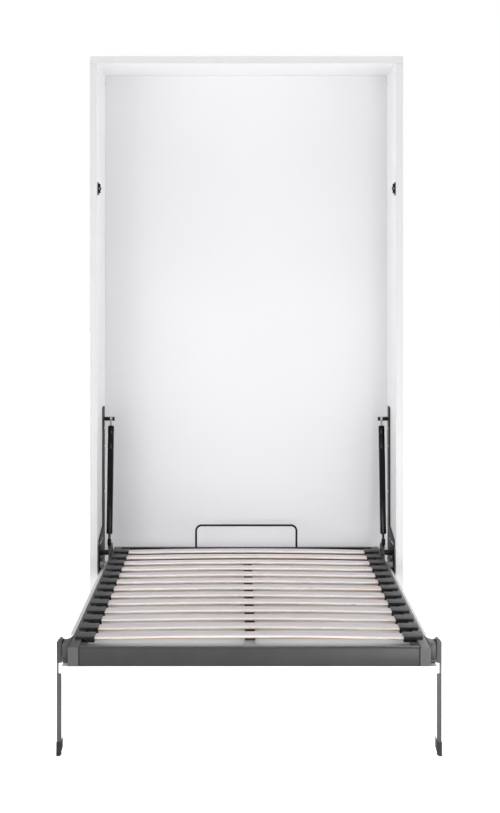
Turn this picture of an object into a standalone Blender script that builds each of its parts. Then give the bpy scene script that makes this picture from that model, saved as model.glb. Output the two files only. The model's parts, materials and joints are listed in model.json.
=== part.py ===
"""A vertical wall bed: a white cabinet with a slatted steel bed frame that folds down on two gas struts.

The frame is +Z up, with the open cabinet and the foot of the bed towards -Y. The origin is on the
floor, under the middle of the open bed's outline. Depths are measured from the cabinet's front plane
towards the wall, and heights from the floor. Everything is in metres.
"""

from math import atan2, cos, hypot, pi, radians, sin

import bmesh
import bpy
from mathutils import Matrix, Vector

# Gaps and clearances
GAP = 0.0003             # between pieces that touch
RUNNING = 0.0004         # radial play of a pin in its hole
SLAT_PLAY = 0.0006       # a slat in its holder
HARDWARE_ROOM = 0.041    # from a side rail to the cabinet's side, for the hinge, strut and leg
HEAD_ROOM = 0.117        # from the head end of the open bed to the back panel
CLOSED_HEADROOM = 0.018  # from the foot of the closed bed to the top panel
PANEL_SIDE_GAP = 0.008   # from the front panel to the cabinet's sides
OPEN_PIVOT_GAP = 0.0012  # from each lower stud to the rod end that it faces

# Bed frame
FRAME_WIDTH = 0.958
FOOT_REACH = 1.697       # from the pivot to the foot rail's face
HEAD_REACH = 0.189       # from the pivot to the head end
RAIL_WIDTH = 0.028
RAIL_HEIGHT = 0.050
CROSS_RAIL = 0.025
TUBE_WALL = 0.002
RAIL_TOP = 0.308
CAP_FLANGE = 0.003
CAP_PLUG = 0.022
BEAM_WIDTH = 0.0265
BEAM_HEIGHT = 0.022
BEAM_OFFSET = 0.003
BEAM_DROP = 0.005        # from the slats down to the centre beam, for its pads

# Slats and their holders
SLAT_COUNT = 13
SLAT_WIDTH = 0.064
SLAT_THICKNESS = 0.008
SLAT_CROWN = 0.006
SLAT_END_HEIGHT = 0.302  # underside of a slat's end
HEAD_SLAT_MARGIN = 0.0705
FOOT_SLAT_MARGIN = 0.100
HOLDER_WALL = 0.004
HOLDER_REACH = 0.033     # inboard of the side rail
HOLDER_LAP = 0.019       # over the top of the side rail
HOLDER_WEB = 0.0025

# Pivot, hinge plates and struts
PIVOT_DEPTH = 0.094
PIVOT_HEIGHT = 0.315
PIVOT_RADIUS = 0.006
COLLAR_RADIUS = 0.009
HINGE_PLATE = 0.004
PLATE_FRONT = 0.051
PLATE_REAR = 0.330
PLATE_FOOT = 0.240
PLATE_SHOULDER = 0.365
PLATE_STEM = 0.250
PLATE_TOP = 0.817
PLATE_CORNER = 0.012
HINGE_ARM = 0.004
ARM_FRONT = 0.074        # ahead of the pivot
ARM_REAR = 0.130         # behind the pivot
ARM_RISE = 0.019         # above the pivot
UPPER_STUD_DEPTH = 0.290
UPPER_STUD_HEIGHT = 0.772
UPPER_STUD_RADIUS = 0.007
UPPER_SHANK_RADIUS = 0.004
LOWER_STUD_BEHIND = 0.094
LOWER_STUD_ABOVE = 0.004
LOWER_STUD_RADIUS = 0.007
STRUT_INSET = 0.0295     # from the cabinet's side to the strut's centre line
STRUT_RADIUS = 0.011
STRUT_WALL = 0.0015
STRUT_START = 0.026      # from the upper stud to the cylinder's closed end
STRUT_LENGTH = 0.390
GLAND_LENGTH = 0.014
ROD_RADIUS = 0.0045
ROD_LENGTH = 0.330
PISTON_LENGTH = 0.012
EYE_RADIUS = 0.009
EYE_THICKNESS = 0.008
EYE_NECK_RADIUS = 0.0032

# Cabinet
BOARD = 0.025
BACK_THICKNESS = 0.008
GROOVE_DEPTH = 0.006
WALL_RAIL = 0.022
WALL_RAIL_HEIGHT = 0.100
BACK_LIFT = 0.030
PLINTH_HEIGHT = 0.118
PLINTH_THICKNESS = 0.018
CATCH_BELOW_PIVOTS = 0.314  # from the closed legs' pivots down to the catches
CATCH_HEIGHT = 0.045
CATCH_REACH = 0.014
CATCH_FRONT = 0.012
CATCH_LENGTH = 0.033
CATCH_PLATE = 0.003
CATCH_RING = 0.0065
CATCH_HOLE = 0.0036

# Front panel, handle, mattress loop and legs
PANEL_THICKNESS = 0.020
PANEL_INSET = 0.003      # behind the foot rail's face
PANEL_TAIL = 0.004       # from the head end to the panel's rear edge
NOTCH_DEPTH = 0.016
NOTCH_LENGTH = 0.444
HANDLE_SPAN = 0.160
HANDLE_RISE = 0.030
HANDLE_BAR = 0.005
HANDLE_FROM_FOOT = 0.300
LOOP_WIDTH = 0.371
LOOP_HEIGHT = 0.083
LOOP_BAR = 0.00375
LOOP_BEND = 0.020
LEG_INSET = 0.103        # from the foot rail's face to the leg's pivot
LEG_DROP = 0.025         # from the rail's top to the leg's pivot
LEG_SIDE_GAP = 0.004
LEG_WIDTH = 0.035
LEG_LUG = 0.013
LEG_LUG_RISE = 0.031
LEG_LUG_DROP = 0.033
LEG_LUG_CHAMFER = 0.0085  # on the lug's outer top edge
LEG_WALL = 0.0025
LEG_FLANGE_TOP = 0.222
LEG_PIN = 0.004
BRACKET_GAP = 0.0006
BRACKET_FRONT = 0.048    # from the foot rail's face
BRACKET_LENGTH = 0.0725
SHOE_HEIGHT = 0.038
SHOE_TONGUE = 0.049      # the inboard wall, which is taller
SHOE_WALL = 0.0014
SHOE_TAPER = 0.006

# Places that follow from those sizes
BACK_DEPTH = PIVOT_DEPTH + HEAD_REACH + HEAD_ROOM
CABINET_DEPTH = BACK_DEPTH + BACK_THICKNESS + WALL_RAIL
TOP_UNDERSIDE = PIVOT_HEIGHT + FOOT_REACH + CLOSED_HEADROOM
SIDE_INNER = FRAME_WIDTH / 2 + HARDWARE_ROOM
SIDE_OUTER = SIDE_INNER + BOARD
FOOT_DEPTH = PIVOT_DEPTH - FOOT_REACH
HEAD_DEPTH = PIVOT_DEPTH + HEAD_REACH
FRONT_Y = -(FOOT_DEPTH + CABINET_DEPTH) / 2
RAIL_OUTER = FRAME_WIDTH / 2
RAIL_INNER = RAIL_OUTER - RAIL_WIDTH
RAIL_FOOT = RAIL_TOP - RAIL_HEIGHT
PLATE_INNER = SIDE_INNER - HINGE_PLATE
ARM_OUTER = RAIL_OUTER + GAP + HINGE_ARM
STRUT_X = SIDE_INNER - STRUT_INSET
LEG_OUTER = SIDE_INNER - LEG_SIDE_GAP
LEG_INNER = LEG_OUTER - LEG_LUG
LEG_DEPTH = FOOT_DEPTH + LEG_INSET
LEG_HEIGHT = RAIL_TOP - LEG_DROP
SIDES = (("left", -1), ("right", 1))


def place(x, depth, z):
    """World position of a point given by its depth behind the cabinet's front plane."""
    return Vector((x, FRONT_Y + depth, z))


def finish(name, colour, roughness, metallic=0.0):
    material = bpy.data.materials.new(name)
    material.use_nodes = True
    shader = material.node_tree.nodes["Principled BSDF"]
    shader.inputs["Base Color"].default_value = (*colour, 1)
    shader.inputs["Roughness"].default_value = roughness
    shader.inputs["Metallic"].default_value = metallic
    return material


def axis_empty(name, location, tilt=0.0):
    """An empty on a joint's axis; tilt turns it about X."""
    empty = bpy.data.objects.new(name, None)
    empty.empty_display_size = 0.05
    empty.location = location
    empty.rotation_euler = (tilt, 0, 0)
    bpy.context.collection.objects.link(empty)
    return empty, Matrix.Translation(location) @ Matrix.Rotation(tilt, 4, "X")


def add_piece(name, bm, material, axis=None):
    """Makes an object of a mesh built in world coordinates, with its origin on its axis."""
    bmesh.ops.recalc_face_normals(bm, faces=bm.faces)
    mesh = bpy.data.meshes.new(name)
    piece = bpy.data.objects.new(name, mesh)
    if axis:
        bm.transform(axis[1].inverted())
        piece.parent = axis[0]
    bm.to_mesh(mesh)
    bm.free()
    mesh.shade_smooth()
    mesh.set_sharp_from_angle(angle=radians(35))
    mesh.materials.append(material)
    bpy.context.collection.objects.link(piece)
    return piece


def combine(piece, bm, operation, axis=None):
    """Cuts a helper shape from a piece, or joins it on, with a Boolean."""
    tool = add_piece(f"{piece.name}_{operation.lower()}", bm, piece.data.materials[0], axis)
    tool.hide_render = True
    tool.display_type = "WIRE"
    boolean = piece.modifiers.new(operation.title(), "BOOLEAN")
    boolean.object = tool
    boolean.operation = operation
    boolean.solver = "EXACT"


def block(low, high, bm=None):
    """A box between two corners, given in any order; it may be added to a mesh."""
    bm = bm or bmesh.new()
    middle = (low + high) / 2
    size = high - low
    matrix = Matrix.Translation(middle) @ Matrix.Diagonal((abs(size.x), abs(size.y), abs(size.z), 1))
    bmesh.ops.create_cube(bm, size=1, matrix=matrix)
    return bm


def extruded(corners, reach, bm=None):
    """A flat outline of world points, swept along the vector reach."""
    bm = bm or bmesh.new()
    face = bm.faces.new([bm.verts.new(corner) for corner in corners])
    swept = bmesh.ops.extrude_face_region(bm, geom=[face])["geom"]
    bmesh.ops.translate(bm, verts=[v for v in swept if isinstance(v, bmesh.types.BMVert)], vec=reach)
    return bm


def square_tube(low, high, along, wall):
    """A hollow rectangular tube, open at both ends, between two corners; along is its long axis."""
    across = [axis for axis in range(3) if axis != along]
    bm = bmesh.new()
    rings = []
    for inset in (0, wall):
        near = low.copy()
        far = high.copy()
        for axis in across:
            near[axis] += inset
            far[axis] -= inset
        ring = []
        for u, v in ((near, near), (far, near), (far, far), (near, far)):
            corner = low.copy()
            corner[across[0]] = u[across[0]]
            corner[across[1]] = v[across[1]]
            ring.append(bm.verts.new(corner))
        rings.append(ring)
    outer, inner = rings
    faces = [
        bm.faces.new((outer[i], outer[(i + 1) % 4], inner[(i + 1) % 4], inner[i]))
        for i in range(4)
    ]
    swept = bmesh.ops.extrude_face_region(bm, geom=faces)["geom"]
    reach = Vector((0, 0, 0))
    reach[along] = high[along] - low[along]
    bmesh.ops.translate(bm, verts=[v for v in swept if isinstance(v, bmesh.types.BMVert)], vec=reach)
    return bm


def turned(profile, matrix, segments=32):
    """A profile of (along, radius) points turned about the matrix's X axis; a closed solid."""
    bm = bmesh.new()
    verts = [bm.verts.new((along, 0, radius)) for along, radius in profile]
    edges = [bm.edges.new(pair) for pair in zip(verts, verts[1:])]
    bmesh.ops.spin(
        bm, geom=verts + edges, cent=(0, 0, 0), axis=(1, 0, 0),
        angle=2 * pi, steps=segments, use_merge=True,
    )
    bmesh.ops.remove_doubles(bm, verts=bm.verts, dist=1e-6)
    bm.transform(matrix)
    return bm


def across(depth, z):
    """Matrix that puts a turned piece on an axis along X, with its own X as the world's."""
    return Matrix.Translation(place(0, depth, z))


def bar(name, points, radius, material, axis):
    """A round bar along a list of world points."""
    curve = bpy.data.curves.new(name, "CURVE")
    curve.dimensions = "3D"
    curve.bevel_depth = radius
    curve.bevel_resolution = 2
    curve.use_fill_caps = True
    spline = curve.splines.new("POLY")
    spline.points.add(len(points) - 1)
    for target, point in zip(spline.points, points):
        target.co = (*(axis[1].inverted() @ point), 1)
    curve.materials.append(material)
    piece = bpy.data.objects.new(name, curve)
    piece.parent = axis[0]
    bpy.context.collection.objects.link(piece)


def bow(width, height, bend, steps=6):
    """Points of a bow handle in its own plane: up, round a bend, across, round a bend and down."""
    half = width / 2
    points = [(-half, 0)]
    for turn in range(steps + 1):
        angle = pi - turn * pi / 2 / steps
        points.append((-half + bend + bend * cos(angle), height - bend + bend * sin(angle)))
    return points + [(-x, y) for x, y in reversed(points)]


def rounded(outline, radius, steps=4):
    """An outline of (depth, height) corners with each corner turned into an arc."""
    points = []
    for i, here in enumerate(outline):
        corner = Vector(here)
        to_last = (Vector(outline[i - 1]) - corner).normalized()
        to_next = (Vector(outline[(i + 1) % len(outline)]) - corner).normalized()
        half = to_last.angle(to_next) / 2
        middle = corner + (to_last + to_next).normalized() * radius / sin(half)
        start = corner + to_last * radius * cos(half) / sin(half) - middle
        turn = pi - 2 * half
        if start.x * to_next.y - start.y * to_next.x < 0:
            turn = -turn
        points += [middle + Matrix.Rotation(turn * k / steps, 2) @ start for k in range(steps + 1)]
    return points


def make_cabinet(white, back_white, black):
    height = TOP_UNDERSIDE - GAP
    groove = SIDE_INNER + GROOVE_DEPTH
    groove_front = BACK_DEPTH - GAP
    groove_rear = BACK_DEPTH + BACK_THICKNESS + GAP
    for side, sign in SIDES:
        plan = (
            (SIDE_INNER, 0), (SIDE_OUTER, 0), (SIDE_OUTER, CABINET_DEPTH), (SIDE_INNER, CABINET_DEPTH),
            (SIDE_INNER, groove_rear), (groove, groove_rear), (groove, groove_front),
            (SIDE_INNER, groove_front),
        )
        corners = [place(sign * x, depth, 0) for x, depth in plan]
        add_piece(f"{side}_side_panel", extruded(corners, Vector((0, 0, height))), white)
        make_catch(side, sign, black)
    top = TOP_UNDERSIDE + BOARD
    add_piece(
        "top_panel",
        block(place(-SIDE_OUTER, 0, TOP_UNDERSIDE), place(SIDE_OUTER, CABINET_DEPTH, top)), white,
    )
    back_half = groove - GAP
    back_rear = BACK_DEPTH + BACK_THICKNESS
    add_piece(
        "back_panel",
        block(place(-back_half, BACK_DEPTH, BACK_LIFT), place(back_half, back_rear, height)), back_white,
    )
    rail_half = SIDE_INNER - GAP
    rail_front = back_rear + GAP
    wall_rail_foot = height - WALL_RAIL_HEIGHT
    for name, low, high in (
        ("wall_fixing_rail", wall_rail_foot, height),
        ("rear_floor_rail", 0, WALL_RAIL_HEIGHT),
    ):
        solid = block(place(-rail_half, rail_front, low), place(rail_half, CABINET_DEPTH, high))
        add_piece(name, solid, white)
    plinth_front = PIVOT_DEPTH - (PIVOT_HEIGHT - RAIL_FOOT) - PANEL_THICKNESS
    solid = block(
        place(-rail_half, plinth_front, 0),
        place(rail_half, plinth_front + PLINTH_THICKNESS, PLINTH_HEIGHT),
    )
    add_piece("plinth_board", solid, white)


def make_catch(side, sign, black):
    """A small steel bracket with a round eye, level with the closed legs' feet."""
    middle = PIVOT_HEIGHT + PIVOT_DEPTH - LEG_DEPTH - CATCH_BELOW_PIVOTS
    low, high = middle - CATCH_HEIGHT / 2, middle + CATCH_HEIGHT / 2
    face = SIDE_INNER - GAP
    tip = SIDE_INNER - CATCH_REACH
    plan = (
        (face, CATCH_FRONT), (face, CATCH_FRONT + CATCH_LENGTH),
        (face - CATCH_PLATE, CATCH_FRONT + CATCH_LENGTH),
        (face - CATCH_PLATE, CATCH_FRONT + CATCH_PLATE), (tip + CATCH_PLATE, CATCH_FRONT + CATCH_PLATE),
        (tip + CATCH_PLATE, CATCH_FRONT),
    )
    corners = [place(sign * x, depth, low) for x, depth in plan]
    catch = add_piece(f"{side}_catch", extruded(corners, Vector((0, 0, high - low))), black)
    centre = Matrix.Translation(place(sign * (tip + CATCH_RING), CATCH_FRONT, middle))
    eye = centre @ Matrix.Rotation(pi / 2, 4, "Z")
    boss = 2 * CATCH_PLATE
    ends = ((-CATCH_PLATE / 2, 0), (-CATCH_PLATE / 2, CATCH_RING), (boss, CATCH_RING), (boss, 0))
    combine(catch, turned(ends, eye, 24), "UNION")
    hole = ((-boss, 0), (-boss, CATCH_HOLE), (2 * boss, CATCH_HOLE), (2 * boss, 0))
    combine(catch, turned(hole, eye, 24), "DIFFERENCE")


def make_hinge_plates(black, steel):
    outline = rounded(
        (
            (PLATE_FRONT, PLATE_FOOT), (PLATE_REAR, PLATE_FOOT), (PLATE_REAR, PLATE_TOP),
            (PLATE_STEM, PLATE_TOP), (PLATE_STEM, PLATE_SHOULDER), (PLATE_FRONT, PLATE_SHOULDER),
        ),
        PLATE_CORNER,
    )
    for side, sign in SIDES:
        corners = [place(sign * PLATE_INNER, depth, z) for depth, z in outline]
        reach = Vector((sign * (HINGE_PLATE - GAP), 0, 0))
        plate = add_piece(f"{side}_hinge_plate", extruded(corners, reach), black)
        near, far = sign * (PLATE_INNER - HINGE_PLATE), sign * (SIDE_INNER + HINGE_PLATE)
        for depth, z, shank in (
            (PIVOT_DEPTH, PIVOT_HEIGHT, PIVOT_RADIUS),
            (UPPER_STUD_DEPTH, UPPER_STUD_HEIGHT, UPPER_SHANK_RADIUS),
        ):
            radius = shank + RUNNING
            hole = ((near, 0), (near, radius), (far, radius), (far, 0))
            combine(plate, turned(hole, across(depth, z)), "DIFFERENCE")
        make_pivot_bolt(side, sign, steel)
        make_upper_stud(side, sign, black)


def make_pivot_bolt(side, sign, steel):
    """The bed turns on this collared bolt, riveted into the hinge plate."""
    profile = (
        (RAIL_OUTER - 2 * GAP, 0), (RAIL_OUTER - 2 * GAP, PIVOT_RADIUS),
        (ARM_OUTER + 2 * GAP, PIVOT_RADIUS), (ARM_OUTER + 2 * GAP, COLLAR_RADIUS),
        (PLATE_INNER - GAP, COLLAR_RADIUS), (PLATE_INNER - GAP, PIVOT_RADIUS),
        (SIDE_INNER - 2 * GAP, PIVOT_RADIUS), (SIDE_INNER - 2 * GAP, 0),
    )
    profile = [(sign * x, radius) for x, radius in profile]
    add_piece(f"{side}_pivot_bolt", turned(profile, across(PIVOT_DEPTH, PIVOT_HEIGHT)), steel)


def make_upper_stud(side, sign, black):
    """The strut's upper eye turns on this stud's neck, between its shoulder and its end nut."""
    near = STRUT_X - EYE_THICKNESS / 2 - 2 * GAP
    far = STRUT_X + EYE_THICKNESS / 2 + 2 * GAP
    nut = near - EYE_THICKNESS
    profile = (
        (nut, 0), (nut, UPPER_STUD_RADIUS), (near, UPPER_STUD_RADIUS), (near, UPPER_SHANK_RADIUS),
        (far, UPPER_SHANK_RADIUS), (far, UPPER_STUD_RADIUS), (PLATE_INNER - GAP, UPPER_STUD_RADIUS),
        (PLATE_INNER - GAP, UPPER_SHANK_RADIUS), (SIDE_INNER - 2 * GAP, UPPER_SHANK_RADIUS),
        (SIDE_INNER - 2 * GAP, 0),
    )
    profile = [(sign * x, radius) for x, radius in profile]
    matrix = across(UPPER_STUD_DEPTH, UPPER_STUD_HEIGHT)
    add_piece(f"{side}_upper_stud", turned(profile, matrix), black)


def make_frame(bed, anthracite, grey, black, steel):
    near = FOOT_DEPTH + CAP_FLANGE + GAP
    for side, sign in SIDES:
        low = place(min(sign * RAIL_INNER, sign * RAIL_OUTER), near, RAIL_FOOT)
        high = place(max(sign * RAIL_INNER, sign * RAIL_OUTER), HEAD_DEPTH, RAIL_TOP)
        add_piece(f"{side}_side_rail", square_tube(low, high, 1, TUBE_WALL), anthracite, bed)
        cap = block(
            place(sign * RAIL_INNER, FOOT_DEPTH, RAIL_FOOT),
            place(sign * RAIL_OUTER, FOOT_DEPTH + CAP_FLANGE, RAIL_TOP),
        )
        inset = TUBE_WALL + GAP
        cap_piece = add_piece(f"{side}_rail_end_cap", cap, grey, bed)
        plug = block(
            place(sign * (RAIL_INNER + inset), FOOT_DEPTH + CAP_FLANGE / 2, RAIL_FOOT + inset),
            place(sign * (RAIL_OUTER - inset), FOOT_DEPTH + CAP_FLANGE + CAP_PLUG, RAIL_TOP - inset),
        )
        combine(cap_piece, plug, "UNION", bed)
        make_hinge_arm(side, sign, bed, anthracite, steel)
    half = RAIL_INNER - GAP
    for name, front, rear in (
        ("foot_rail", FOOT_DEPTH, FOOT_DEPTH + CROSS_RAIL),
        ("head_rail", HEAD_DEPTH - CROSS_RAIL, HEAD_DEPTH),
    ):
        low, high = place(-half, front, RAIL_FOOT), place(half, rear, RAIL_TOP)
        add_piece(name, square_tube(low, high, 0, TUBE_WALL), anthracite, bed)
    beam_top = SLAT_END_HEIGHT + SLAT_CROWN - BEAM_DROP
    low = place(
        BEAM_OFFSET - BEAM_WIDTH / 2, FOOT_DEPTH + CROSS_RAIL + GAP, beam_top - BEAM_HEIGHT
    )
    high = place(BEAM_OFFSET + BEAM_WIDTH / 2, HEAD_DEPTH - CROSS_RAIL - GAP, beam_top)
    add_piece("centre_beam", square_tube(low, high, 1, TUBE_WALL), grey, bed)
    seat = HEAD_DEPTH - CROSS_RAIL / 2
    points = [
        place(x, seat, RAIL_TOP + GAP + z)
        for x, z in bow(LOOP_WIDTH - 2 * LOOP_BAR, LOOP_HEIGHT - LOOP_BAR, LOOP_BEND)
    ]
    bar("mattress_loop", points, LOOP_BAR, black, bed)


def make_hinge_arm(side, sign, bed, anthracite, steel):
    """A steel plate on the side rail that carries the pivot's eye and the strut's lower stud."""
    front, rear = PIVOT_DEPTH - ARM_FRONT, PIVOT_DEPTH + ARM_REAR
    foot, top = RAIL_FOOT + HINGE_ARM, PIVOT_HEIGHT + ARM_RISE
    slope = 2 * ARM_RISE
    outline = rounded(
        (
            (front, foot), (rear, foot), (rear, top - slope / 2), (rear - slope / 2, top),
            (front + slope, top), (front, top - slope),
        ),
        HINGE_ARM,
    )
    inner = sign * (RAIL_OUTER + GAP)
    corners = [place(inner, depth, z) for depth, z in outline]
    plate = extruded(corners, Vector((sign * HINGE_ARM, 0, 0)))
    arm = add_piece(f"{side}_hinge_arm", plate, anthracite, bed)
    hole = PIVOT_RADIUS + RUNNING
    ends = (sign * (RAIL_OUTER - HINGE_ARM), sign * (ARM_OUTER + HINGE_ARM))
    cutter = turned(
        ((ends[0], 0), (ends[0], hole), (ends[1], hole), (ends[1], 0)),
        across(PIVOT_DEPTH, PIVOT_HEIGHT),
    )
    combine(arm, cutter, "DIFFERENCE", bed)
    tip = STRUT_X - EYE_THICKNESS / 2 - OPEN_PIVOT_GAP
    profile = (
        (ARM_OUTER + GAP, 0), (ARM_OUTER + GAP, LOWER_STUD_RADIUS), (tip, LOWER_STUD_RADIUS), (tip, 0)
    )
    profile = [(sign * x, radius) for x, radius in profile]
    matrix = across(PIVOT_DEPTH + LOWER_STUD_BEHIND, PIVOT_HEIGHT + LOWER_STUD_ABOVE)
    add_piece(f"{side}_lower_stud", turned(profile, matrix), steel, bed)


def slat_fronts():
    """Depth of each slat's front edge, from the head to the foot."""
    first = HEAD_DEPTH - CROSS_RAIL - HEAD_SLAT_MARGIN - SLAT_WIDTH
    last = FOOT_DEPTH + CROSS_RAIL + FOOT_SLAT_MARGIN
    return [first + (last - first) * i / (SLAT_COUNT - 1) for i in range(SLAT_COUNT)]


def make_slats(bed, wood, black):
    """Crowned beech slats, and the two rows of holders that carry their ends."""
    half = RAIL_INNER - 2 * GAP
    steps = 16
    across_slat = [2 * k / steps - 1 for k in range(steps + 1)]
    lower = [(half * u, SLAT_CROWN * (1 - u ** 2)) for u in across_slat]
    outline = lower + [(x, z + SLAT_THICKNESS) for x, z in reversed(lower)]
    for number, front in enumerate(slat_fronts(), 1):
        corners = [place(x, front, SLAT_END_HEIGHT + z) for x, z in outline]
        add_piece(f"slat_{number:02}", extruded(corners, Vector((0, SLAT_WIDTH, 0))), wood, bed)
    top = SLAT_END_HEIGHT + SLAT_THICKNESS + HOLDER_WALL
    foot = SLAT_END_HEIGHT - HOLDER_WALL
    seat = RAIL_TOP + GAP
    inboard, lap = RAIL_INNER - HOLDER_REACH, RAIL_INNER + HOLDER_LAP
    fronts = slat_fronts()
    for side, sign in SIDES:
        strip = block(
            place(sign * (RAIL_INNER - HOLDER_WALL), fronts[-1] - HOLDER_WALL, seat),
            place(sign * lap, fronts[0] + SLAT_WIDTH + HOLDER_WALL, seat + HOLDER_WEB),
        )
        holders = add_piece(f"{side}_slat_holders", strip, black, bed)
        bodies, pockets = bmesh.new(), bmesh.new()
        for front in fronts:
            start, end = front - HOLDER_WALL, front + SLAT_WIDTH + HOLDER_WALL
            outline = (
                (inboard, foot), (RAIL_INNER - GAP, foot), (RAIL_INNER - GAP, seat),
                (lap - GAP, seat + GAP), (lap - GAP, top), (inboard, top),
            )
            corners = [place(sign * x, start, z) for x, z in outline]
            extruded(corners, Vector((0, end - start, 0)), bodies)
            block(
                place(sign * (inboard - HOLDER_WALL), front - SLAT_PLAY, SLAT_END_HEIGHT - SLAT_PLAY),
                place(
                    sign * RAIL_INNER, front + SLAT_WIDTH + SLAT_PLAY,
                    SLAT_END_HEIGHT + SLAT_THICKNESS + 2 * SLAT_PLAY,
                ),
                pockets,
            )
        combine(holders, bodies, "UNION", bed)
        combine(holders, pockets, "DIFFERENCE", bed)


def make_front_panel(bed, white, steel):
    """The white front, screwed under the frame, with a notch at each foot corner where a leg passes."""
    half = SIDE_INNER - PANEL_SIDE_GAP
    foot, rear = FOOT_DEPTH + PANEL_INSET, HEAD_DEPTH - PANEL_TAIL
    notch = foot + NOTCH_LENGTH
    right = [
        (half - NOTCH_DEPTH, foot), (half - NOTCH_DEPTH, notch), (half, notch), (half, rear),
    ]
    outline = right + [(-x, depth) for x, depth in reversed(right)]
    top = RAIL_FOOT - GAP
    corners = [place(x, depth, top - PANEL_THICKNESS) for x, depth in outline]
    add_piece("front_panel", extruded(corners, Vector((0, 0, PANEL_THICKNESS))), white, bed)
    underside = top - PANEL_THICKNESS - GAP
    points = [
        place(x, foot + HANDLE_FROM_FOOT, underside - z)
        for x, z in bow(HANDLE_SPAN - 2 * HANDLE_BAR, HANDLE_RISE - HANDLE_BAR, 3 * HANDLE_BAR)
    ]
    bar("pull_handle", points, HANDLE_BAR, steel, bed)


def make_strut(side, sign, black, steel):
    """A gas strut: cylinder, gland and a piston rod, along its own -Z from the upper stud."""
    upper = place(sign * STRUT_X, UPPER_STUD_DEPTH, UPPER_STUD_HEIGHT)
    lower = place(sign * STRUT_X, PIVOT_DEPTH + LOWER_STUD_BEHIND, PIVOT_HEIGHT + LOWER_STUD_ABOVE)
    run = lower - upper
    tilt = atan2(run.y, -run.z)
    axis = axis_empty(f"{side}_strut_axis", upper, tilt)
    down = axis[1] @ Matrix.Rotation(pi / 2, 4, "Y")
    length = hypot(run.y, run.z)
    bore = STRUT_RADIUS - STRUT_WALL
    end = STRUT_START + STRUT_LENGTH
    profile = (
        (EYE_RADIUS / 2, 0), (EYE_RADIUS / 2, EYE_NECK_RADIUS), (STRUT_START, EYE_NECK_RADIUS),
        (STRUT_START, STRUT_RADIUS), (end, STRUT_RADIUS), (end, bore), (STRUT_START + STRUT_WALL, bore),
        (STRUT_START + STRUT_WALL, 0),
    )
    cylinder = add_piece(f"{side}_strut_cylinder", turned(profile, down), black, axis)
    thick = EYE_THICKNESS / 2
    eye = turned(((-thick, 0), (-thick, EYE_RADIUS), (thick, EYE_RADIUS), (thick, 0)), axis[1])
    combine(cylinder, eye, "UNION", axis)
    bore_of_eye = UPPER_SHANK_RADIUS + RUNNING
    thick *= 2
    hole = turned(((-thick, 0), (-thick, bore_of_eye), (thick, bore_of_eye), (thick, 0)), axis[1])
    combine(cylinder, hole, "DIFFERENCE", axis)
    guide = ROD_RADIUS + RUNNING
    gland = end - GLAND_LENGTH
    ring = ((gland, guide), (gland, bore - GAP), (end, bore - GAP), (end, guide), (gland, guide))
    add_piece(f"{side}_strut_gland", turned(ring, down), black, axis)
    start = length - ROD_LENGTH
    piston = bore - RUNNING
    socket = length - EYE_RADIUS + GAP
    rod_profile = (
        (start, 0), (start, piston), (start + PISTON_LENGTH, piston), (start + PISTON_LENGTH, ROD_RADIUS),
        (socket, ROD_RADIUS), (socket, 0),
    )
    rod = add_piece(f"{side}_strut_rod", turned(rod_profile, down), steel, axis)
    thick = EYE_THICKNESS / 2
    at_lower = Matrix.Translation(lower)
    ball = ((-thick, 0), (-thick, EYE_RADIUS), (thick, EYE_RADIUS), (thick, 0))
    combine(rod, turned(ball, at_lower), "UNION", axis)


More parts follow.
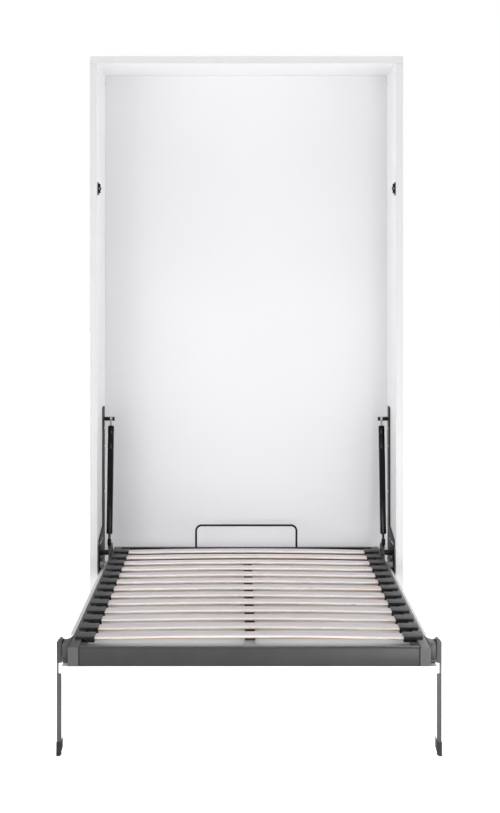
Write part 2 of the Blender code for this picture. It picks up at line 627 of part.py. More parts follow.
def make_leg(side, sign, bed, dark, black, grey, steel):
    """A folding leg of angle steel on a pin through its bracket, with a plastic shoe."""
    axis = axis_empty(f"{side}_leg_axis", place(sign * LEG_INNER, LEG_DEPTH, LEG_HEIGHT))
    axis[0].parent = bed[0]
    axis[0].location = bed[1].inverted() @ axis[1].translation
    front, rear = LEG_DEPTH - LEG_WIDTH / 2, LEG_DEPTH + LEG_WIDTH / 2
    floor = SHOE_WALL * 2
    flange = extruded(
        [
            place(sign * x, depth, floor)
            for x, depth in (
                (LEG_OUTER, front), (LEG_OUTER, rear), (LEG_OUTER - LEG_WALL, rear),
                (LEG_OUTER - LEG_WALL, front),
            )
        ],
        Vector((0, 0, LEG_HEIGHT + LEG_LUG_RISE - LEG_LUG_CHAMFER - 2 * LEG_WALL - floor)),
    )
    leg = add_piece(f"{side}_leg", flange, dark, axis)
    web = block(
        place(sign * (LEG_INNER + GAP), front + GAP, floor + GAP),
        place(sign * (LEG_OUTER - GAP), front + LEG_WALL, LEG_FLANGE_TOP),
    )
    lug_outer, lug_foot, lug_top = LEG_OUTER + GAP, LEG_HEIGHT - LEG_LUG_DROP, LEG_HEIGHT + LEG_LUG_RISE
    lug = [
        place(sign * x, front - GAP, z)
        for x, z in (
            (LEG_INNER, lug_foot), (lug_outer, lug_foot), (lug_outer, lug_top - LEG_LUG_CHAMFER),
            (lug_outer - LEG_LUG_CHAMFER, lug_top), (LEG_INNER, lug_top),
        )
    ]
    combine(leg, web, "UNION", axis)
    combine(leg, extruded(lug, Vector((0, LEG_WIDTH + 2 * GAP, 0))), "UNION", axis)
    hole = LEG_PIN + RUNNING
    pin_near, pin_far = LEG_INNER - LEG_LUG, LEG_OUTER
    ends = (sign * (pin_near - LEG_LUG), sign * (pin_far + LEG_LUG))
    cut = ((ends[0], 0), (ends[0], hole), (ends[1], hole), (ends[1], 0))
    combine(leg, turned(cut, across(LEG_DEPTH, LEG_HEIGHT), 24), "DIFFERENCE", axis)
    bracket = add_piece(
        f"{side}_leg_bracket",
        block(
            place(sign * (RAIL_OUTER + GAP), FOOT_DEPTH + BRACKET_FRONT, RAIL_FOOT + GAP),
            place(sign * (LEG_INNER - BRACKET_GAP), FOOT_DEPTH + BRACKET_FRONT + BRACKET_LENGTH, RAIL_TOP),
        ),
        grey, bed,
    )
    combine(bracket, turned(cut, across(LEG_DEPTH, LEG_HEIGHT), 24), "DIFFERENCE", bed)
    pin = [(sign * pin_near, 0), (sign * pin_near, LEG_PIN), (sign * pin_far, LEG_PIN), (sign * pin_far, 0)]
    add_piece(f"{side}_leg_pin", turned(pin, across(LEG_DEPTH, LEG_HEIGHT), 24), steel, bed)
    make_shoe(side, sign, axis, front, rear, black)


def make_shoe(side, sign, axis, front, rear, black):
    """A tapered plastic shoe pushed on to the leg's end."""
    outer = LEG_OUTER + SHOE_WALL
    inner = LEG_INNER - SHOE_WALL
    outline = (
        (outer, 0), (outer, SHOE_HEIGHT), (LEG_INNER + LEG_WALL, SHOE_HEIGHT), (inner, SHOE_TONGUE),
        (inner, SHOE_HEIGHT / 2),
        (inner + SHOE_TAPER, 0),
    )
    corners = [place(sign * x, front - SHOE_WALL, z) for x, z in outline]
    length = rear - front + 2 * SHOE_WALL
    shoe = add_piece(f"{side}_leg_shoe", extruded(corners, Vector((0, length, 0))), black, axis)
    slot = [
        (LEG_OUTER + GAP, front - GAP), (LEG_OUTER + GAP, rear + GAP),
        (LEG_OUTER - LEG_WALL - GAP, rear + GAP), (LEG_OUTER - LEG_WALL - GAP, front + LEG_WALL + GAP),
        (LEG_INNER, front + LEG_WALL + GAP), (LEG_INNER, front - GAP),
    ]
    floor = 2 * SHOE_WALL - GAP
    corners = [place(sign * x, depth, floor) for x, depth in slot]
    combine(shoe, extruded(corners, Vector((0, 0, 2 * SHOE_HEIGHT))), "DIFFERENCE", axis)


def main():
    for old in list(bpy.data.objects):
        bpy.data.objects.remove(old, do_unlink=True)
    white = finish("white_melamine", (0.86, 0.86, 0.86), 0.45)
    back_white = finish("white_hdf", (0.84, 0.84, 0.85), 0.55)
    anthracite = finish("anthracite_steel", (0.075, 0.075, 0.078), 0.5)
    grey = finish("grey_plastic", (0.18, 0.18, 0.185), 0.5)
    black = finish("black_plastic", (0.02, 0.02, 0.022), 0.45)
    steel = finish("zinc_plated_steel", (0.55, 0.55, 0.56), 0.3, 1.0)
    wood = finish("beech_slat", (0.72, 0.62, 0.5), 0.55)
    bed = axis_empty("bed_axis", place(0, PIVOT_DEPTH, PIVOT_HEIGHT))
    make_cabinet(white, back_white, black)
    make_hinge_plates(black, steel)
    make_frame(bed, anthracite, grey, black, steel)
    make_slats(bed, wood, black)
    make_front_panel(bed, white, steel)
    for side, sign in SIDES:
        make_strut(side, sign, black, steel)
        make_leg(side, sign, bed, anthracite, black, grey, steel)


main()
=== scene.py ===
"""Looks of a vertical wall bed, standing open: cabinet, slatted frame, gas struts, folding legs."""

import json
from math import cos, pi, radians, sin

import bmesh
import bpy
from mathutils import Matrix, Vector


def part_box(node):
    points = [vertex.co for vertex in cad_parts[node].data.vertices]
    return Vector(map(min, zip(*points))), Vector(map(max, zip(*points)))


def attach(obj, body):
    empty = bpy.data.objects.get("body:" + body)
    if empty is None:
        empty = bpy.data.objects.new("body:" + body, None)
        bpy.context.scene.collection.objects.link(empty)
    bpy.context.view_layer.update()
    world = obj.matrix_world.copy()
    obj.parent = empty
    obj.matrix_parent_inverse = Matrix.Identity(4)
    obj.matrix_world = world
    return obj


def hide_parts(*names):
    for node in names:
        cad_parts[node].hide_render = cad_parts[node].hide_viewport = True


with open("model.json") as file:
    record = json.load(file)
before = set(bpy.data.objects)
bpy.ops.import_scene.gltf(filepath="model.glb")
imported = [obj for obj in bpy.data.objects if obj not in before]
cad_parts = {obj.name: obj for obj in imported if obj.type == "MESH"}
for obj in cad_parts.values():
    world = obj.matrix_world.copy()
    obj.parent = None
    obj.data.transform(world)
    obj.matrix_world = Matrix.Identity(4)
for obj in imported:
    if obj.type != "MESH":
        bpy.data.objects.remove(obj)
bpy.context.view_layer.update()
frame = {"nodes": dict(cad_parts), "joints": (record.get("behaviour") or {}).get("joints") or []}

# Camera: a long lens on a tripod in front of the bed, level and a little left of its middle, with
# the film shifted down so that the uprights stay parallel and the feet stay in view.
front_of_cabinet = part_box("left_side_panel")[0].y
eye_height = 1.280
eye_distance = 6.620
eye_left = 0.030
camera = bpy.data.objects.new("camera", bpy.data.cameras.new("camera"))
camera.data.lens = 84.25
camera.data.sensor_width = 36.0
camera.data.shift_x = 0.0148
camera.data.shift_y = -0.157
camera.data.clip_end = 60.0
camera.location = (-eye_left, front_of_cabinet - eye_distance, eye_height)
camera.rotation_euler = (radians(90), 0, 0)
bpy.context.scene.collection.objects.link(camera)
bpy.context.scene.camera = camera

# Studio: a white room with no edges, which looks twice as bright as it lights the bed. Large soft
# boxes stand far off in front, above and behind. Two of those in front have a grid, and a small one
# stands low on the right.
bpy.context.scene.view_settings.view_transform = "Standard"
room_looks = 1.0
room_lights = 0.50


def add(tree, kind, inputs=(), **settings):
    """Adds a shader node. An input is a plain value or the output that feeds it."""
    made = tree.nodes.new("ShaderNode" + kind)
    for name, value in settings.items():
        setattr(made, name, value)
    for name, value in dict(inputs).items():
        if isinstance(value, bpy.types.NodeSocket):
            tree.links.new(value, made.inputs[name])
        else:
            made.inputs[name].default_value = value
    return made


room = bpy.data.worlds.new("white_room")
room.use_nodes = True
surround = room.node_tree.nodes["Background"]
surround.inputs["Color"].default_value = (1, 1, 1, 1)
seen = add(room.node_tree, "LightPath")
strength = add(
    room.node_tree, "MapRange",
    {"Value": seen.outputs["Is Camera Ray"], "To Min": room_lights, "To Max": room_looks},
)
room.node_tree.links.new(strength.outputs["Result"], surround.inputs["Strength"])
bpy.context.scene.world = room


def soft_box(name, place, size, power, aim, spread=180):
    """A rectangular area light at place that faces aim; a grid narrows its spread, in degrees."""
    lamp = bpy.data.lights.new(name, "AREA")
    lamp.shape = "RECTANGLE"
    lamp.size, lamp.size_y = size
    lamp.energy = power
    lamp.spread = radians(spread)
    lit = bpy.data.objects.new(name, lamp)
    lit.location = place
    lit.visible_camera = False
    lit.rotation_euler = (Vector(aim) - Vector(place)).to_track_quat("-Z", "Y").to_euler()
    bpy.context.scene.collection.objects.link(lit)


soft_box("left_soft_box", (-4.6, -5.2, 0.9), (3.2, 1.6), 50, (0, 0.8, 0.7))
soft_box("right_soft_box", (4.6, -5.2, 0.9), (3.2, 1.6), 24, (0, 0.8, 0.7))
soft_box("left_grid", (-2.4, -7.2, 1.0), (2.8, 1.6), 6.5, (0.25, 0.9, 0.35), 34)
soft_box("right_grid", (2.4, -7.2, 1.0), (2.8, 1.6), 3.2, (-0.25, 0.9, 0.35), 34)
soft_box("overhead_soft_box", (0, 0.1, 3.6), (2.0, 1.0), 30, (0, -0.3, 0.3))
soft_box("low_right_soft_box", (0.95, -3.3, 0.2), (0.5, 0.3), 22, (0.43, -1.0, 0.28))
soft_box("rear_soft_box", (2.0, 8.0, 3.0), (3.0, 3.0), 40, (0, 1.0, 1.0))

# Floor: a sheet of white acrylic far larger than the bed, lit from below like a light table, so
# that nothing but a faint shadow lies on it.
floor_reach = 40.0
floor_glow = 0.72


def linear(code):
    """Linear colour of an sRGB hex code."""
    parts = [int(code[i:i + 2], 16) / 255 for i in (1, 3, 5)]
    return (*[c / 12.92 if c <= 0.04045 else ((c + 0.055) / 1.055) ** 2.4 for c in parts], 1)


def finish(name, roughness, metallic=0.0, **sockets):
    """A new material, its shader's even values, and the Object coordinates its patterns read."""
    material = bpy.data.materials.new(name)
    material.use_nodes = True
    tree = material.node_tree
    shader = tree.nodes["Principled BSDF"]
    shader.inputs["Roughness"].default_value = roughness
    shader.inputs["Metallic"].default_value = metallic
    for socket, value in sockets.items():
        shader.inputs[socket.replace("_", " ")].default_value = value
    return material, tree, shader, add(tree, "TexCoord").outputs["Object"]


def ramp_between(tree, factor, low, high, middle=0.5, spread=1.0):
    """A colour ramp's output, from one hex colour to another over a spread about its middle."""
    ramp = add(tree, "ValToRGB", {"Fac": factor})
    ramp.color_ramp.elements[0].position = middle - spread / 2
    ramp.color_ramp.elements[1].position = middle + spread / 2
    ramp.color_ramp.elements[0].color = linear(low)
    ramp.color_ramp.elements[1].color = linear(high)
    return ramp.outputs["Color"]


def mottle(tree, shader, where, size, low, high, spread=0.35, detail=4.0):
    """Colours the shader between two hex colours by soft noise, its blobs size metres across."""
    noise = add(tree, "TexNoise", {"Vector": where, "Scale": 1 / size, "Detail": detail})
    colour = ramp_between(tree, noise.outputs["Fac"], low, high, spread=spread)
    tree.links.new(colour, shader.inputs["Base Color"])
    return colour


# Opal acrylic: an even glow with the slightest cloudiness.
opal, tree, shader, where = finish(
    "white_light_table", 0.9, Emission_Color=(1, 1, 1, 1), Emission_Strength=floor_glow
)
mottle(tree, shader, where, 0.8, "#e6e6e6", "#eaeaea")
bm = bmesh.new()
bmesh.ops.create_grid(bm, x_segments=1, y_segments=1, size=floor_reach)
sheet = bpy.data.meshes.new("floor")
bm.to_mesh(sheet)
bm.free()
sheet.materials.append(opal)
floor = bpy.data.objects.new("floor", sheet)
bpy.context.scene.collection.objects.link(floor)

# Cabinet boards: 25 mm particle board faced with white melamine, its front edges closed with a
# 2 mm ABS strip that is glued on and trimmed flush.
strip_depth = 0.002
eased_board = 0.0008


def grit(tree, shader, where, size, depth, strength=1.0, detail=2.0):
    """Raises the surface by noise: size is the width of a grain and depth its height, in metres.
    A real grain finer than about 1 mm is drawn near that width, so that it shows."""
    noise = add(tree, "TexNoise", {"Vector": where, "Scale": 1 / size, "Detail": detail})
    bump = add(
        tree, "Bump", {"Height": noise.outputs["Fac"], "Distance": depth, "Strength": strength}
    )
    tree.links.new(bump.outputs["Normal"], shader.inputs["Normal"])


def vary_gloss(tree, shader, where, size, low, high):
    """Lets the roughness wander between two values, as handling and cleaning leave it."""
    noise = add(tree, "TexNoise", {"Vector": where, "Scale": 1 / size, "Detail": 3.0})
    gloss = add(tree, "MapRange", {"Value": noise.outputs["Fac"], "To Min": low, "To Max": high})
    tree.links.new(gloss.outputs["Result"], shader.inputs["Roughness"])


# Melamine paper, hot pressed: the faint orange peel of the press plate breaks up a soft satin
# gloss. The edging strip is painted greyer than the faces: painted shade on the front edges.
white_board, tree, shader, where = finish("white_melamine_board", 0.32)
facing = mottle(tree, shader, where, 0.9, "#f8f8f9", "#fbfbfc")
board_place = add(tree, "SeparateXYZ", {"Vector": where})
# Painted shade: within the strip's depth of the front, the colour is the grey edging.
front_edge_shade_mask = add(
    tree, "Math", {0: board_place.outputs["Y"], 1: front_of_cabinet + strip_depth},
    operation="LESS_THAN",
)
painted_shade_edging = add(
    tree, "Mix", {"Factor": front_edge_shade_mask.outputs[0], 6: facing, 7: linear("#c9c9ca")}, data_type="RGBA"
)
tree.links.new(painted_shade_edging.outputs[2], shader.inputs["Base Color"])
grit(tree, shader, where, 0.0025, 0.00003, 0.5)
vary_gloss(tree, shader, where, 0.25, 0.28, 0.36)


def dress(name, material, width=0.0, segments=2):
    """Gives a CAD node its material and, with a width, rounds its edges."""
    node = frame["nodes"][name]
    node.material_slots[0].material = material
    if width:
        weld = node.modifiers.new("Weld", "WELD")
        weld.merge_threshold = 0.00005
        bevel = node.modifiers.new("Eased edges", "BEVEL")
        bevel.width = width
        bevel.segments = segments
        bevel.limit_method = "ANGLE"
        bevel.angle_limit = radians(40)
        even = node.modifiers.new("Even shading", "WEIGHTED_NORMAL")
        even.keep_sharp = False


for name in ("left_side_panel", "right_side_panel", "top_panel", "plinth_board"):
    dress(name, white_board, eased_board)

# Back panel: an 8 mm hardboard in grooves, lacquered on the side that shows and left bare behind.
# The two rails that brace it are offcuts of the white board.
back_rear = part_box("back_panel")[1].y
bare_skin = 0.0005
fibre_bundle = 1 / 260
eased_rail = 0.0006
# Wet-process hardboard: a smooth, cool white lacquer with little gloss in front, and behind it
# brown felted fibres in bundles of about 4 mm.
back_finish, tree, shader, where = finish("lacquered_hardboard", 0.5)
white_side = mottle(tree, shader, where, 0.7, "#dcdcde", "#dfdfe1")
fibres = add(
    tree, "TexNoise",
    {"Vector": where, "Scale": 1 / fibre_bundle, "Detail": 6.0, "Roughness": 0.7},
)
brown_side = ramp_between(tree, fibres.outputs["Fac"], "#6e543b", "#a08363")
panel_place = add(tree, "SeparateXYZ", {"Vector": where})
behind = add(
    tree, "Math", {0: panel_place.outputs["Y"], 1: back_rear - bare_skin},
    operation="GREATER_THAN",
)
both = add(
    tree, "Mix", {"Factor": behind.outputs[0], 6: white_side, 7: brown_side}, data_type="RGBA"
)
tree.links.new(both.outputs[2], shader.inputs["Base Color"])
grit(tree, shader, where, 0.004, 0.00003, 0.5)
dress("back_panel", back_finish)
for name in ("wall_fixing_rail", "rear_floor_rail"):
    dress(name, white_board, eased_rail)

# Cam fittings: the top board is drawn on to the sides by two cams on each, under push-in covers of
# white polythene, 15 mm across, that stand a little off the board and pick up a faint ring.
cover_radius = 0.0075
cover_rise = 0.0008
cover_depths = (0.030, 0.385)
cover_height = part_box("top_panel")[0].z - 0.034
cover = (
    (0, 0), (0, 0.0015), (-0.0004, 0.002), (-0.0004, 0.0022), (0, 0.003),
    (0, cover_radius - 0.0008), (cover_rise, cover_radius),
)


def new_piece(name, bm, material, body, slot, *replaced):
    """Finishes a bmesh as a piece of the bed: its normals, shading, material and body."""
    bmesh.ops.recalc_face_normals(bm, faces=bm.faces)
    mesh = bpy.data.meshes.new(name)
    bm.to_mesh(mesh)
    bm.free()
    mesh.shade_smooth()
    mesh.set_sharp_from_angle(angle=radians(32))
    for one in material if isinstance(material, tuple) else (material,):
        mesh.materials.append(one)
    made = bpy.data.objects.new(name, mesh)
    bpy.context.scene.collection.objects.link(made)
    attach(made, body)
    if replaced:
        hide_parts(*replaced)


def turned(bm, profile, matrix, segments=32):
    """Adds a profile of (along, radius) points, turned about the matrix's X axis."""
    verts = [bm.verts.new((along, 0, radius)) for along, radius in profile]
    edges = [bm.edges.new(pair) for pair in zip(verts, verts[1:])]
    bmesh.ops.spin(
        bm, geom=verts + edges, cent=(0, 0, 0), axis=(1, 0, 0),
        angle=2 * pi, steps=segments, use_merge=True,
    )
    fresh = [v for v in bm.verts if not v.tag]
    bmesh.ops.remove_doubles(bm, verts=fresh, dist=1e-6)
    fresh = [v for v in bm.verts if not v.tag]
    bmesh.ops.transform(bm, matrix=matrix, verts=fresh)
    for vert in fresh:
        vert.tag = True


# Moulded polythene: waxy and softly glossy, a shade darker than the boards.
cover_finish, tree, shader, where = finish("white_polythene_cover", 0.35)
mottle(tree, shader, where, 0.02, "#dcdcdd", "#e4e4e5")
board_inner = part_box("right_side_panel")[0].x
bm = bmesh.new()
for sign in (-1, 1):
    turn = Matrix.Rotation(0 if sign > 0 else pi, 4, "Z")
    for depth in cover_depths:
        place = (sign * (board_inner - cover_rise), front_of_cabinet + depth, cover_height)
        turned(bm, cover, Matrix.Translation(place) @ turn, 28)
new_piece("cam_covers", bm, cover_finish, "cabinet", "cabinet_board")

# Catches: small black steel angles screwed to the sides, with a turned eye that takes the folded
# bed's spring bolt on a bright pin. Each is held by two pan-head screws.
catch_plate = 0.003
catch_eased = 0.0008
catch_fit = 0.0003
wing_inset = 0.006
wing_sunk = 0.001
wing_short = 0.003
eye_inset = 0.0065
eye = (
    (0.005, 0.0036), (0.005, 0.0058), (0.0045, 0.0064), (-0.0009, 0.0064), (-0.0014, 0.0058),
    (-0.0014, 0.0036), (0.005, 0.0036),
)
pin = ((-0.001, 0), (-0.001, 0.0018), (0.003, 0.0018), (0.003, 0))
screw_inset = 0.0045
screw_depth = 0.021
# Black powder coat, fine texture: near black, with a dull, broken sheen along the edges.
black_steel, tree, shader, where = finish(
    "black_powder_coated_steel", 0.5, Specular_IOR_Level=0.25
)
mottle(tree, shader, where, 0.03, "#08080a", "#0e0e10")
grit(tree, shader, where, 0.0009, 0.00005, 0.6)
vary_gloss(tree, shader, where, 0.02, 0.45, 0.58)
# Bright zinc plate: a cool silver that is cloudy close up, with sharp small glints.
zinc, tree, shader, where = finish("zinc_plated_steel", 0.28, 1.0)
mottle(tree, shader, where, 0.006, "#a9abae", "#c9cacc", 0.5)
vary_gloss(tree, shader, where, 0.003, 0.22, 0.4)


def box(bm, low, high, round_by=0.0, segments=2):
    """Adds a box between two corners, with all its edges rounded."""
    low, high = Vector(low), Vector(high)
    size = high - low
    matrix = Matrix.Translation((low + high) / 2) @ Matrix.Diagonal((*[abs(s) for s in size], 1))
    cube = bmesh.ops.create_cube(bm, size=1, matrix=matrix)
    if round_by:
        edges = list({edge for vert in cube["verts"] for edge in vert.link_edges})
        bmesh.ops.bevel(
            bm, geom=edges, offset=round_by, segments=segments, profile=0.5,
            affect="EDGES", material=-1,
        )
    for vert in bm.verts:
        vert.tag = True


def pan_head(bm, place, facing, radius, rise):
    """A pan-head screw with a dished recess; facing is the direction its head points."""
    tilt = Vector(facing).to_track_quat("X", "Z").to_matrix().to_4x4()
    head = (
        (rise * 0.55, 0), (rise * 0.9, radius * 0.3), (rise, radius * 0.42),
        (rise * 0.85, radius * 0.75), (rise * 0.45, radius * 0.96), (0, radius),
        (-rise * 0.4, radius * 0.9), (-rise * 0.4, 0),
    )
    turned(bm, head, Matrix.Translation(place) @ tilt, 20)


for side, sign in (("left", -1), ("right", 1)):
    low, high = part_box(f"{side}_catch")
    face = sign * (board_inner - catch_fit)
    tip = sign * min(abs(low.x), abs(high.x))
    bm = bmesh.new()
    box(bm, (face, low.y, low.z), (face - sign * catch_plate, high.y, high.z), catch_eased)
    box(
        bm, (face - sign * wing_sunk, low.y, low.z + wing_inset),
        (tip + sign * wing_short, low.y + catch_plate, high.z - wing_inset), catch_eased,
    )
    middle = (tip + sign * eye_inset, low.y, (low.z + high.z) / 2)
    along_eye = Matrix.Translation(middle) @ Matrix.Rotation(pi / 2, 4, "Z")
    turned(bm, eye, along_eye, 32)
    new_piece(f"{side}_catch_plate", bm, black_steel, "cabinet", "black_steel", f"{side}_catch")
    bm = bmesh.new()
    turned(bm, pin, along_eye, 20)
    for z in (low.z + screw_inset, high.z - screw_inset):
        place = (face - sign * catch_plate, low.y + screw_depth, z)
        pan_head(bm, place, (-sign, 0, 0), 0.0038, 0.0022)
    new_piece(f"{side}_catch_screws", bm, zinc, "cabinet", "plated_steel")

# Hinge plates: 4 mm steel, pressed and punched, black powder coated. Each is screwed to the
# cabinet's side through its foot and its tall stem. A light grey rubber stop stands under the
# pivot, and the pivot bolt is blackened, with a bright spot where it is turned and staked.
# Screws by their depth behind the cabinet's front and their height.
stem_screws = ((0.290, 0.738), (0.290, 0.673), (0.290, 0.508), (0.198, 0.350), (0.248, 0.262))
foot_screws = ((0.068, 0.349), (0.122, 0.349), (0.132, 0.292), (0.160, 0.258))
stop_depth, stop_height = 0.094, 0.272
stop_reach, stop_radius = 0.014, 0.0105
stop = (
    (0, 0), (0, stop_radius), (stop_reach - 0.002, stop_radius * 0.96),
    (stop_reach, stop_radius * 0.8), (stop_reach, 0),
)
stake = ((-0.0012, 0), (-0.0012, 0.0022), (-0.0004, 0.0032), (0.0008, 0.0032), (0.0008, 0))
# Moulded rubber: pale, matt and a little dusty.
grey_rubber, tree, shader, where = finish("light_grey_rubber_stop", 0.6)
mottle(tree, shader, where, 0.01, "#c6c6c8", "#d0d0d2")
grit(tree, shader, where, 0.0008, 0.00005, 0.5)
plate_face = abs(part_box("left_hinge_plate")[1].x)
for side, sign in (("left", -1), ("right", 1)):
    outward = Matrix.Rotation(0 if sign > 0 else pi, 4, "Z")
    inward = Matrix.Rotation(pi if sign > 0 else 0, 4, "Z")
    dress(f"{side}_hinge_plate", black_steel)
    bm = bmesh.new()
    for screws, radius, rise in ((stem_screws, 0.0042, 0.0022), (foot_screws, 0.0050, 0.0036)):
        for depth, height in screws:
            place = (sign * plate_face, front_of_cabinet + depth, height)
            pan_head(bm, place, (-sign, 0, 0), radius, rise)
    new_piece(f"{side}_hinge_plate_screws", bm, zinc, "cabinet", "plated_steel")
    bm = bmesh.new()
    place = (sign * plate_face, front_of_cabinet + stop_depth, stop_height)
    turned(bm, stop, Matrix.Translation(place) @ inward, 32)
    new_piece(f"{side}_bed_stop", bm, grey_rubber, "cabinet", "dark_plastic")
    dress(f"{side}_pivot_bolt", black_steel)
    low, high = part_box(f"{side}_pivot_bolt")
    tip = min(abs(low.x), abs(high.x))
    bm = bmesh.new()
    place = (sign * tip, (low.y + high.y) / 2, (low.z + high.z) / 2)
    turned(bm, stake, Matrix.Translation(place) @ outward, 24)
    new_piece(f"{side}_pivot_stake", bm, zinc, "cabinet", "plated_steel")
    dress(f"{side}_upper_stud", black_steel)

# Bed frame: steel tube with rolled corners, welded and powder coated. The side rails and the foot
# rail are anthracite, and the head rail is black.
tube_wall = 0.002
rail_corner = 0.0028
joint_width = 0.0028
# Anthracite powder coat: a fine, even texture with a dull sheen, a little clouded.
anthracite, tree, shader, where = finish("anthracite_powder_coat", 0.38, Specular_IOR_Level=0.32)
mottle(tree, shader, where, 0.06, "#262627", "#2b2b2c")
grit(tree, shader, where, 0.0012, 0.00006, 0.6)
vary_gloss(tree, shader, where, 0.05, 0.35, 0.42)


def rolled_tube(low, high, along, wall, corner):
    """A rectangular tube between two corners, open at both ends, its long edges rolled round."""
    bm = bmesh.new()
    size = high - low
    matrix = Matrix.Translation((low + high) / 2) @ Matrix.Diagonal((*size, 1))
    bmesh.ops.create_cube(bm, size=1, matrix=matrix)
    axis = Vector((0, 0, 0))
    axis[along] = 1
    long_edges = [
        e for e in bm.edges if abs((e.verts[1].co - e.verts[0].co).normalized().dot(axis)) > 0.9
    ]
    bmesh.ops.bevel(
        bm, geom=long_edges, offset=corner, segments=4, profile=0.5, affect="EDGES", material=-1
    )
    ends = [f for f in bm.faces if abs(f.normal.dot(axis)) > 0.9]
    bmesh.ops.delete(bm, geom=ends, context="FACES_ONLY")
    bmesh.ops.recalc_face_normals(bm, faces=bm.faces)
    bmesh.ops.solidify(bm, geom=list(bm.faces), thickness=wall)
    return bm


for name, along, coat in (
    ("left_side_rail", 1, anthracite), ("right_side_rail", 1, anthracite),
    ("foot_rail", 0, anthracite), ("head_rail", 0, black_steel),
):
    low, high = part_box(name)
    if name == "foot_rail":
        low.x += joint_width
        high.x -= joint_width
    tube = rolled_tube(low, high, along, tube_wall, rail_corner)
    new_piece(f"{name}_tube", tube, coat, "bed", "frame_steel", name)

# Corner joints: a black strip, painted shade in place of a shadowed gap, fills the joint between
# the foot rail's cut end and each side rail, set back a little from the rail's faces.
set_back = 0.0008
joint_shade_eased = 0.0004
low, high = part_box("foot_rail")
bm = bmesh.new()
for sign in (-1, 1):
    box(
        bm, (sign * high.x, low.y + set_back, low.z + set_back),
        (sign * (high.x - joint_width), high.y - set_back, high.z - set_back), joint_shade_eased,
    )
new_piece("corner_joint_shade_strips", bm, black_steel, "bed", "dark_plastic")

# Centre beam: a lighter grey tube under the slats, from the foot rail to the head rail, with a
# brown rubber pad under the middle of each slat.
beam_corner = 0.002
pad_overhang = 0.001
pad_front, pad_rear = 0.003, 0.001
pad_gap = 0.0002
pad_eased = 0.001
slat_and_fit = 0.0083
# Grey powder coat: a plain mid grey, matt, with the same fine texture as the frame.
grey_coat, tree, shader, where = finish("grey_powder_coat", 0.5)
mottle(tree, shader, where, 0.05, "#88888a", "#8f8f91")
grit(tree, shader, where, 0.0012, 0.00006, 0.5)
beam_low, beam_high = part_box("centre_beam")
beam = rolled_tube(beam_low, beam_high, 1, tube_wall, beam_corner)
new_piece("centre_beam_tube", beam, grey_coat, "bed", "grey_steel", "centre_beam")
# Brown rubber: dark, dull and finely pitted.
brown_rubber, tree, shader, where = finish("brown_rubber", 0.7)
mottle(tree, shader, where, 0.01, "#3c2620", "#4a3028")
grit(tree, shader, where, 0.0008, 0.00005, 0.6)
bm = bmesh.new()
slats = sorted(name for name in frame["nodes"] if name.startswith("slat_"))
for slat in slats:
    low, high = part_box(slat)
    box(
        bm, (beam_low.x - pad_overhang, low.y + pad_front, beam_high.z + pad_gap),
        (beam_high.x + pad_overhang, high.y - pad_rear, high.z - slat_and_fit), pad_eased,
    )
new_piece("centre_pads", bm, brown_rubber, "bed", "dark_plastic")

# End caps: grey polyamide plugs in the open ends of the side rails, with the thin flange that
# covers the tube's cut edge.
cap_eased = 0.0008
# Moulded polyamide: a spark-eroded texture that leaves it matt, a little lighter than the rails.
grey_plastic, tree, shader, where = finish("grey_moulded_polyamide", 0.5)
mottle(tree, shader, where, 0.03, "#3d3d3f", "#444446")
grit(tree, shader, where, 0.0010, 0.00005, 0.7)
for side in ("left", "right"):
    dress(f"{side}_rail_end_cap", grey_plastic, cap_eased)

# Slats: beech veneers glued in a shallow curve, 8 mm thick, with a paper on top and the long edges
# rounded over and left bare. They are sprung upwards, so the middle stands 6 mm higher.
crown = 0.006
slat_steps = 24
rounded = 0.0035
dot_spacing = 0.0055
veneer_shift = 1.7
# Printed paper: lilac grey and matt, with a fine dot raised in rows. The rows are drawn wide enough
# apart to show.
slat_face, tree, shader, where = finish("dotted_slat_paper", 0.6)
paper = mottle(tree, shader, where, 0.06, "#dad1d5", "#e2dadd", 0.5)
rows = add(tree, "Mapping", {"Vector": where, "Scale": (2 * pi / dot_spacing,) * 3})
row_place = add(tree, "SeparateXYZ", {"Vector": rows.outputs["Vector"]})
dots_x = add(tree, "Math", {0: row_place.outputs["X"]}, operation="SINE")
dots_y = add(tree, "Math", {0: row_place.outputs["Y"]}, operation="SINE")
dots = add(tree, "Math", {0: dots_x.outputs[0], 1: dots_y.outputs[0]}, operation="MULTIPLY")
shade = add(
    tree, "MapRange",
    {"Value": dots.outputs[0], "From Min": -0.6, "From Max": 0.6, "To Min": 0.88, "To Max": 1.0},
)
dotted = add(
    tree, "Mix", {"Factor": 1.0, 6: paper, 7: shade.outputs["Result"]},
    data_type="RGBA", blend_type="MULTIPLY",
)
tree.links.new(dotted.outputs[2], shader.inputs["Base Color"])
raised = add(tree, "Bump", {"Height": dots.outputs[0], "Distance": 0.0001, "Strength": 0.5})
tree.links.new(raised.outputs["Normal"], shader.inputs["Normal"])

# Bare beech edge: cream, streaked along the veneers. The map gives the place along the slat and
# the height above its underside, in metres, and is shifted from slat to slat so that no two match.
slat_edge, tree, shader, where = finish("layered_beech_edge", 0.45)
layers = add(tree, "UVMap", uv_map="layers").outputs["UV"]
height = add(tree, "SeparateXYZ", {"Vector": layers})
streaks = add(tree, "Mapping", {"Vector": layers, "Scale": (6.0, 700.0, 1.0)})
wood = add(tree, "TexNoise", {"Vector": streaks.outputs["Vector"], "Scale": 1.0, "Detail": 5.0})
timber = ramp_between(tree, wood.outputs["Fac"], "#f9efe0", "#fffcf5", spread=0.4)
